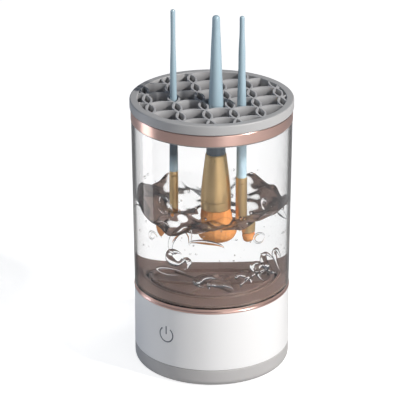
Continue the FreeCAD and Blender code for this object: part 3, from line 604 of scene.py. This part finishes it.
def make_shell():
    """The white motor housing, turned in one piece, with its button hole and charging recess."""
    low, high = size_of("base_housing")
    radius, wall, seam, edge = high.x, 2.4, 11.0, 0.5
    spigot, spigot_bore, well, well_floor = 45.8, 43.2, 41.2, 46.1
    deck_low, step, step_radius = 43.9, 46.7, 43.4
    outline = [(spigot, low.z), (spigot, seam)] + arc(radius - edge, seam + edge, edge, -90, 0, 4)
    outline += arc(radius - edge, high.z - edge, edge, 0, 90, 4)
    outline += [(well, high.z), (well, well_floor), (0, well_floor), (0, deck_low),
                (step_radius, deck_low), (step_radius, step), (radius - wall, step),
                (radius - wall, seam + wall), (spigot_bore, seam), (spigot_bore, low.z)]
    piece = spun("shell", outline, 192)
    symbol_low, symbol_high = size_of("button_symbol")
    turn = math.atan2(symbol_low.x + symbol_high.x, -symbol_low.y - symbol_high.y)
    button_level, hole, hole_depth = 31.4, 6.45, 12
    deselect_all()
    bpy.ops.mesh.primitive_cylinder_add(
        vertices=64, radius=hole * MM, depth=hole_depth * MM,
        location=(radius * MM * math.sin(turn), -radius * MM * math.cos(turn), button_level * MM),
        rotation=(math.pi / 2, 0, turn))
    taken_out(piece, bpy.context.object)
    port_low, port_high = size_of("charging_socket")
    level = (port_low.z + port_high.z) / 2
    for width, height, depth in ((12.6, 6.8, 0.9), (9.5, 3.8, 5.0)):
        taken_out(piece, slot_cutter(width, height, radius - depth, level))
    seen_as(softened(piece, 0, angle=32), "white_shell", "base", "base_housing")


def make_button():
    piece = refined("power_button", "push_button", 0.0, angle=40)
    seen_as(piece, "button_white", "button", "power_button")
    seen_as(refined("button_symbol", "power_symbol", 0.0), "symbol_grey", "button", "button_symbol")


def make_underside():
    seen_as(refined("bottom_cover", "underside_cover", 0.35), "cover_grey", "base", "bottom_cover")
    seen_as(refined("cover_screws", "underside_screws", 0.2), "screw_steel", "base", "cover_screws")
    seen_as(refined("charging_socket", "charging_shell", 0.08), "socket_steel", "base", "charging_socket")


# --- tank ----------------------------------------------------------------------------------------

BEAD = 0.35          # rounding of the clear tank's rims
TANK_WALL = 2.0
TANK_FLOOR = 52.6
TANK_FOOT_RADIUS = 47.9
SUMP_RADIUS = 38.3   # the round well in the tank's floor, in which the agitator turns
SUMP_FLOOR = 48.7
NECK_RADIUS = 48.2   # the outside of the tank inside its band


def tank_bore(height):
    """Inside radius of the tank at a height."""
    low, high = size_of("tank_shell")
    share = (height - TANK_FLOOR) / (high.z - TANK_FLOOR)
    return TANK_FOOT_RADIUS - TANK_WALL + (high.x - TANK_FOOT_RADIUS) * share


def make_tank():
    """The clear tank with the line round its foot, the plate on its floor and the agitator's cap."""
    low, high = size_of("tank_shell")
    ledge, spigot, ring_bore, ring_top, neck_low = 50.3, 40.4, 45.6, 52.2, 158.2
    boss, boss_top, pin, pin_low = 4.0, 50.6, 1.5, 47.6
    mouth = high.x - TANK_WALL
    outline = [(0, low.z), (spigot, low.z), (spigot, ledge), (ring_bore, ledge), (ring_bore, ring_top),
               (TANK_FOOT_RADIUS, ring_top), (high.x, neck_low), (NECK_RADIUS, neck_low)]
    outline += arc(NECK_RADIUS - BEAD, high.z - BEAD, BEAD, 0, 90, 3)
    outline += arc(mouth + BEAD, high.z - BEAD, BEAD, 90, 180, 3)
    outline += [(TANK_FOOT_RADIUS - TANK_WALL, TANK_FLOOR), (SUMP_RADIUS, TANK_FLOOR),
                (SUMP_RADIUS, SUMP_FLOOR), (boss, SUMP_FLOOR), (boss, boss_top), (pin, boss_top),
                (pin, pin_low), (0, pin_low)]
    seen_as(softened(spun("clear_tank", outline, 180), 0, angle=30), "tank_clear", "tank", "tank_shell")

    ring_low, ring_high = size_of("tank_foot_ring")
    gap, outside, chamfer = 0.1, TANK_FOOT_RADIUS - 0.05, 0.15
    ring = [(spigot + gap, ring_low.z), (ring_high.x, ring_low.z), (ring_high.x, ledge - gap),
            (outside, ledge + chamfer), (outside, ring_top - gap), (ring_bore + gap, ring_top - gap),
            (ring_bore + gap, ledge - gap), (spigot + gap, ledge - gap)]
    piece = softened(spun("tank_foot_line", ring, 180), width=0.12, segments=2)
    seen_as(piece, record_slot("tank_foot_ring"), "tank", "tank_foot_ring")
    seen_as(refined("floor_plate", "tank_floor_plate", 0.25), "floor_taupe", "tank", "floor_plate")
    seen_as(refined("pin_cap", "agitator_cap", 0.0), record_slot("pin_cap"), "tank", "pin_cap")


def make_band():
    """The rose-gold band, with small rounded edges."""
    low, high = size_of("trim_band")
    radius, lip, mouth, edge = high.x, 47.1, size_of("tank_shell")[1].z, 0.45
    outline = [(NECK_RADIUS, low.z)] + arc(radius - edge, low.z + edge, edge, -90, 0, 5)
    outline += arc(radius - edge, high.z - edge, edge, 0, 90, 5)
    outline += [(lip, high.z), (lip, mouth), (NECK_RADIUS, mouth)]
    seen_as(softened(spun("gold_band", outline, 180), 0, angle=40), "rose_gold", "tank", "trim_band")


def make_agitator():
    piece = refined("agitator_disc", "agitator", 0.25)
    seen_as(piece, "agitator_taupe", "agitator", "agitator_disc")


# --- lid -----------------------------------------------------------------------------------------

def make_lid_ring():
    """The lid's grey rim, with the skirt that goes down into the tank and the gasket round it."""
    low, high = size_of("lid_ring")
    skirt, bore, flange, edge, bore_edge = 46.5, 45.1, 165.4, 0.9, 0.5
    seal_low, seal_top, groove = size_of("lid_seal")[0].z, size_of("lid_seal")[1].z, 45.9
    outline = [(bore, low.z), (skirt, low.z), (skirt, seal_low), (groove, seal_low), (groove, seal_top),
               (skirt, seal_top), (skirt, flange)]
    outline += arc(high.x - edge, flange + edge, edge, -90, 0, 6)
    outline += arc(high.x - edge, high.z - edge, edge, 0, 90, 6)
    outline += arc(bore + bore_edge, high.z - bore_edge, bore_edge, 90, 180, 4)
    seen_as(softened(spun("lid_rim", outline, 180), 0, angle=35), "lid_grey", "lid", "lid_ring")
    seen_as(refined("lid_seal", "lid_gasket", 0.1), "seal_grey", "lid", "lid_seal")


def make_lid_grid():
    """The soft ribs, rounded along their edges."""
    seen_as(refined("lid_grid", "soft_ribs", 0.4, 3, 40), "grid_grey", "lid", "lid_grid")


# --- brushes -------------------------------------------------------------------------------------

def brush_axis(brush):
    """Where a brush stands, in millimetres."""
    low, high = size_of(brush + "_ferrule")
    return (low.x + high.x) / 2, (low.y + high.y) / 2


def smoothed(outline, steps=6):
    """Points along a smooth curve through the corners of an outline."""
    points = [outline[0]]
    for place in range(len(outline) - 1):
        before, here = outline[max(place - 1, 0)], outline[place]
        there, after = outline[place + 1], outline[min(place + 2, len(outline) - 1)]
        for step in range(1, steps + 1):
            share = step / steps
            point = []
            for axis in (0, 1):
                a, b, c, d = before[axis], here[axis], there[axis], after[axis]
                point.append(0.5 * (2 * b + (c - a) * share + (2 * a - 5 * b + 4 * c - d) * share ** 2
                                    + (3 * b - a - 3 * c + d) * share ** 3))
            points.append(tuple(point))
    return points


HANDLES = {
    # the outline above the ferrule as (radius, height), then the tip's rounding
    "detail_brush": ([(2.65, 124.5), (2.3, 160.0), (1.9, 190.0), (1.5, 206.0), (1.45, 226.05)], 1.3),
    "powder_brush": ([(5.8, 139.6), (5.7, 146.0), (4.75, 162.5), (4.5, 171.4), (3.57, 193.6), (3.0, 208.0),
                      (2.5, 218.0), (2.3, 224.8)], 2.1),
    "concealer_brush": ([(3.12, 124.6), (2.75, 171.4), (2.15, 194.0), (2.05, 205.0), (1.55, 216.0),
                         (1.5, 225.4)], 1.3),
}


def make_handle(brush):
    """A handle, from the stub inside its ferrule up to its rounded tip."""
    outline, tip = HANDLES[brush]
    low, high = size_of(brush + "_handle")
    shoulder = outline[0][1]
    step_in = 0.45
    stub = outline[0][0] - step_in
    top = high.z
    points = [(0, low.z), (stub, low.z), (stub, shoulder)] + smoothed(outline, 5)[:-1]
    neck = outline[-1][0]
    points += arc(neck - tip, top - tip, tip, 0, 90, 6)
    points[-1] = (0, top)
    piece = spun(brush + "_lacquered_handle", points, 48, brush_axis(brush))
    seen_as(softened(piece, 0, angle=40), "handle_blue", brush, brush + "_handle")


FERRULES = {
    # the outside outline, then the heights of the crimped grooves
    "detail_brush": ([(2.72, 99.8), (2.72, 124.5)], (102.2, 121.2)),
    "powder_brush": ([(9.2, 104.2), (9.25, 109.5), (9.1, 114.0), (8.6, 120.0), (7.55, 129.5),
                      (6.3, 139.6)], (109.6,)),
    "concealer_brush": ([(3.3, 91.5), (3.5, 99.0), (3.5, 124.6)], (94.5, 120.5)),
}


def make_ferrule(brush):
    """A thin drawn tube with a rolled lip and its crimped grooves."""
    outline, grooves = FERRULES[brush]
    wall, lip, groove, reach, waist = 0.32, 0.18, 0.16, 0.35, (7.0, 120.0)
    dense = smoothed(outline, 12)
    outside = []
    for across, height in dense:
        dip = sum(groove * math.exp(-((height - line) / reach) ** 2) for line in grooves)
        outside.append((across - dip, height))
    for line in grooves:
        for step in (-1.5, -0.75, 0, 0.75, 1.5):
            height = line + step * reach
            near = min(range(len(dense)), key=lambda spot: abs(dense[spot][1] - height))
            dip = groove * math.exp(-step ** 2)
            outside.append((dense[near][0] - dip, height))
    outside.sort(key=lambda point: point[1])
    low, high = outside[0], outside[-1]
    outside[0] = (low[0] - lip, low[1])
    outside[-1] = (high[0] - lip, high[1])
    inside = [(high[0] - wall - lip, high[1]), (low[0] - wall - lip, low[1])]
    if brush == "powder_brush":
        inside.insert(1, waist)
    piece = spun(brush + "_metal_ferrule", outside + inside, 64, brush_axis(brush))
    seen_as(softened(piece, 0, angle=40), "ferrule_gold", brush, brush + "_ferrule")


HEADS = {
    # the head's outline from its tip up, how many strands, and their thickness
    "detail_brush": ([(0.6, 84.3), (1.5, 86.0), (2.3, 88.5), (2.8, 93.0), (2.45, 99.9), (2.2, 102.0)],
                     240, 0.16),
    "powder_brush": ([(2.0, 85.0), (5.8, 86.0), (8.3, 88.3), (9.6, 91.6), (9.7, 95.2), (9.3, 100.0),
                      (8.7, 104.4), (8.4, 106.0)], 1100, 0.24),
    "concealer_brush": ([(1.6, 85.0), (2.7, 86.2), (3.2, 88.5), (3.1, 90.5), (2.85, 91.7), (2.7, 93.5)],
                        260, 0.17),
}


def make_strand(name, thickness):
    """One bristle, a metre long for scaling, pointing down from the origin: three-sided, and
    thinner towards its tip."""
    tip = 0.3
    deselect_all()
    bpy.ops.mesh.primitive_cone_add(vertices=3, radius1=thickness * MM * tip, radius2=thickness * MM,
                                    depth=1.0, location=(0, 0, -0.5))
    strand = bpy.context.object
    strand.name = name
    bpy.ops.object.mode_set(mode="EDIT")
    bpy.ops.mesh.select_all(action="SELECT")
    bpy.ops.mesh.subdivide(number_cuts=2)
    bpy.ops.object.mode_set(mode="OBJECT")
    return strand


def outline_radius(outline, height):
    """Radius of an outline at a height."""
    for (low_across, low), (high_across, high) in zip(outline, outline[1:]):
        if low <= height <= high:
            return low_across + (high_across - low_across) * (height - low) / (high - low)
    return outline[0][0] if height < outline[0][1] else outline[-1][0]


def make_core(brush, points, x, y):
    """The solid middle of a bristle head, with shallow grooves like clumped hair."""
    inset, start, grooves, depth, middle = 0.25, 0.5, 31, 0.018, 0.0004
    core = [(0, points[0][1] + start)]
    core += [(max(across - inset, 0.2), height + start) for across, height in points]
    core += [(0, core[-1][1])]
    piece = spun(brush + "_bristle_core", core, 96, (x, y))
    for vertex in piece.data.vertices:
        flat = Vector((vertex.co.x - x * MM, vertex.co.y - y * MM))
        if flat.length > middle:
            turn = math.atan2(flat.y, flat.x)
            wobble = math.sin(turn * grooves + 3 * math.sin(5 * turn)) + 0.6 * math.sin(turn * 73 + 2)
            scale = 1 + depth * wobble
            vertex.co.x = x * MM + flat.x * scale
            vertex.co.y = y * MM + flat.y * scale
    seen_as(softened(piece, 0, angle=60), "bristle_amber", brush, brush + "_bristles")


def make_head(brush):
    """A bristle head: a grooved core with tapered strands lying over it."""
    outline, count, thickness = HEADS[brush]
    x, y = brush_axis(brush)
    points = smoothed(outline, 4)
    make_core(brush, points, x, y)

    draw = random.Random("strands of " + brush)
    low, high = points[0][1], points[-1][1]
    strand = make_strand(brush + "_strands", thickness)
    template = strand.data.copy()
    bpy.data.objects.remove(strand)
    corners, faces = [], []
    golden, proud, fringe = math.pi * (3 - math.sqrt(5)), 0.02, 0.55
    for number in range(count):
        turn = number * golden + draw.uniform(-0.1, 0.1)
        depth = 1 - 0.45 * draw.random() ** 2
        end = low + (high - low) * fringe * (number / count) ** 1.6 * draw.uniform(0.4, 1.0)
        lean = draw.uniform(-0.12, 0.12)
        start = len(corners)
        for vertex in template.vertices:
            along = -vertex.co.z
            height = high + (end - high) * along
            across = outline_radius(points, height) * depth + proud
            swing = turn + lean * along
            corners.append(((x + across * math.cos(swing)) * MM + vertex.co.x,
                            (y + across * math.sin(swing)) * MM + vertex.co.y, height * MM))
        faces += [[start + corner for corner in face.vertices] for face in template.polygons]
    bundle = gathered(brush + "_strands", corners, faces)
    seen_as(softened(bundle, 0, angle=60), "bristle_amber", brush)


# --- washing water -------------------------------------------------------------------------------

WATER_LEVEL = 103.0
WATER_IOR = 1.33

WAVES = (
    # height, how many go round, how far they are twisted, where they start, and how soon they grow
    (3.0, 2, 1.2, 0.9, 1),
    (2.6, 3, -4.5, 2.4, 1),
    (1.5, 5, 3.0, 0.7, 2),
)

CROSSING_WAVES = (
    # height, closeness along X and along Y, and start
    (1.6, 0.16, 0.12, 1.0),
    (1.2, -0.25, 0.21, 0.5),
)


def water_height(x, y):
    """Height of the stirred surface: a swirl round the axis, with waves thrown up the wall."""
    dip, climb, bore = 3.2, 5.5, 45.0
    across = math.hypot(x, y) / bore
    turn = math.atan2(y, x)
    swirl = climb * across ** 3 - dip
    waves = 0
    for height, count, twist, start, growth in WAVES:
        waves += height * math.sin(count * turn + twist * across + start) * across ** growth
    for height, along_x, along_y, start in CROSSING_WAVES:
        waves += height * math.sin(along_x * x + along_y * y + start)
    ripples = 0.5 * math.sin(0.5 * x + 0.27 * y) * math.sin(0.38 * y - 0.2 * x + 1.3)
    return WATER_LEVEL + swirl + waves + ripples


def make_water():
    """The body of water: fills the tank above the floor plate up to the stirred surface, and laps
    a hair's breadth into both, so that no air is left between."""
    lap, rings, surface = 0.1, 40, 0.5
    plate = size_of("floor_plate")[0].z + lap
    outline = [(0, SUMP_FLOOR - lap), (SUMP_RADIUS + lap, SUMP_FLOOR - lap), (SUMP_RADIUS + lap, plate)]
    outline += [(tank_bore(height) + lap, height) for height in (plate, 60, 70, 80, 90)]
    top = tank_bore(WATER_LEVEL) + lap
    outline += [(top * (rings - ring) / rings, WATER_LEVEL) for ring in range(rings)]
    outline += [(0, WATER_LEVEL)]
    piece = spun("water", outline, 200)
    for vertex in piece.data.vertices:
        if vertex.co.z > (WATER_LEVEL - surface) * MM:
            x, y = vertex.co.x / MM, vertex.co.y / MM
            vertex.co.z = water_height(x, y) * MM
    ride_in_water(piece, WATER, 60)


def ride_in_water(piece, material, angle):
    """Finishes a piece of water or air, which goes with the tank."""
    piece.data.materials.clear()
    piece.data.materials.append(material)
    softened(piece, 0, angle=angle)
    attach(piece, "tank")


def make_drops():
    """Droplets thrown up, and bubbles under the surface, as one piece each."""
    draw = random.Random("drops")
    reach, clear, sunk = 43, 13, 1.2
    brush_x, brush_y = brush_axis("powder_brush")
    for name, count, material in (("drops", 46, WATER), ("bubbles", 90, AIR)):
        deselect_all()
        bpy.ops.mesh.primitive_ico_sphere_add(subdivisions=2, radius=1.0)
        ball = bpy.context.object
        template = ball.data.copy()
        bpy.data.objects.remove(ball)
        corners, faces = [], []
        for number in range(count):
            across = reach * math.sqrt(draw.uniform(0.05, 1))
            turn = draw.uniform(0, FULL_TURN)
            x, y = across * math.cos(turn), across * math.sin(turn)
            if math.hypot(x - brush_x, y - brush_y) < clear:
                continue
            surface = water_height(x, y)
            if name == "drops":
                size = draw.uniform(0.35, 1.1)
                height = surface + draw.uniform(1.5, 13) * draw.random()
            else:
                size = draw.uniform(0.2, 0.6)
                height = surface - sunk - 38 * draw.random() ** 2
            start = len(corners)
            stretch = draw.uniform(0.8, 1.35)
            for vertex in template.vertices:
                corners.append(((x + vertex.co.x * size) * MM, (y + vertex.co.y * size) * MM,
                                (height + vertex.co.z * size * stretch) * MM))
            faces += [[start + corner for corner in face.vertices] for face in template.polygons]
        ride_in_water(gathered(name, corners, faces), material, 80)


SWIRLS = (
    # where each streak of stirred air stands (x, y, z), its width and height, how many turns it
    # makes, how thick it is, and how it is tipped (degrees about X, Y and Z)
    ((-17, -27, 90), (5.5, 9.0), 0.85, 1.9, (70, 20, -30)),
    ((-20, -29, 80), (4.4, 4.6), 0.9, 2.1, (60, -35, 10)),
    ((-16, -30, 75), (3.0, 5.0), 0.5, 1.6, (75, 30, 0)),
    ((-5, -33, 90), (12.0, 2.6), 0.45, 1.2, (80, 8, 5)),
    ((26, -27, 92), (4.6, 3.4), 1.0, 0.8, (75, 0, 40)),
    ((25, -24, 71), (6.0, 3.6), 1.0, 1.3, (65, 30, 35)),
    ((31, -20, 72), (4.0, 8.0), 0.8, 1.9, (70, -20, 50)),
    ((22, -28, 65), (11.0, 3.0), 0.5, 1.7, (75, -24, 30)),
    ((28, -24, 67), (7.0, 6.0), 0.7, 2.0, (60, 15, 40)),
    ((35, -13, 70), (4.0, 9.0), 0.6, 1.8, (75, -10, 65)),
    ((-22, -20, 68), (9.0, 2.2), 0.9, 0.9, (80, 0, -20)),
    ((-30, -12, 88), (3.0, 2.6), 1.0, 0.6, (70, 0, -60)),
    ((4, -26, 59.5), (8.0, 3.0), 0.6, 2.2, (70, 10, 0)),
    ((-3, -20, 61), (6.0, 3.6), 0.7, 2.0, (50, -20, 15)),
    ((16, -18, 62), (5.0, 3.0), 0.6, 1.8, (60, 25, -10)),
    ((12, -14, 96), (8.0, 5.0), 0.5, 1.2, (30, 20, 30)),
    ((-32, 6, 96), (6.0, 6.0), 0.6, 1.6, (60, 10, -60)),
    ((34, 4, 97), (6.0, 6.0), 0.7, 1.7, (65, -10, 70)),
)


def make_streak(draw, place, size, turns, thickness, tip):
    """One open loop, thin at both ends, that narrows and climbs as it turns."""
    corners, narrowing, climb, unsteady = 9, 0.25, 1.8, 0.7
    curve = bpy.data.curves.new("streak", "CURVE")
    curve.dimensions = "3D"
    curve.bevel_depth = thickness * MM
    curve.bevel_resolution = 3
    curve.use_fill_caps = True
    spline = curve.splines.new("NURBS")
    spline.points.add(corners - 1)
    turned = Euler([math.radians(part) for part in tip])
    width, height = size
    for number, point in enumerate(spline.points):
        share = number / (corners - 1)
        turn = FULL_TURN * turns * share
        spot = Vector((width * math.cos(turn) * (1 - narrowing * share), height * math.sin(turn),
                       thickness * climb * share + draw.uniform(-unsteady, unsteady)))
        spot.rotate(turned)
        point.co = (*((spot + Vector(place)) * MM), 1)
        point.radius = 0.12 + 1.1 * math.sin(math.pi * share) * draw.uniform(0.55, 1.2)
    spline.order_u = 4
    spline.use_endpoint_u = True
    streak = bpy.data.objects.new("streak", curve)
    bpy.context.collection.objects.link(streak)
    picked(streak)
    bpy.ops.object.convert(target="MESH")
    return bpy.context.object


def make_swirls():
    """Streaks of air drawn down into the water, joined into one piece."""
    draw = random.Random("swirls")
    streaks = [make_streak(draw, *swirl) for swirl in SWIRLS]
    picked(streaks[0])
    for streak in streaks:
        streak.select_set(True)
    bpy.ops.object.join()
    piece = bpy.context.object
    piece.name = "air_streaks"
    ride_in_water(piece, AIR, 80)


# --- everything ----------------------------------------------------------------------------------

FINISH = make_finishes()
# the second colour of each is the painted dark edge, seen where the surface turns edge-on
WATER = clear_wall("washing_water", (0.97, 0.975, 0.975), (0.028, 0.026, 0.026), WATER_IOR,
                   level=(0.52, 0.74))
AIR = clear_wall("air_bubble", (1, 1, 1), (0.10, 0.07, 0.06), WATER_IOR, (0.35, 0.9), (0.35, 0.9))

place_camera()
light_the_stage()
lay_floor()
finish_cad_nodes()
make_foot()
make_shell()
make_button()
make_underside()
make_tank()
make_band()
make_agitator()
make_lid_ring()
make_lid_grid()
for brush in HANDLES:
    make_handle(brush)
    make_ferrule(brush)
    make_head(brush)
make_water()
make_drops()
make_swirls()
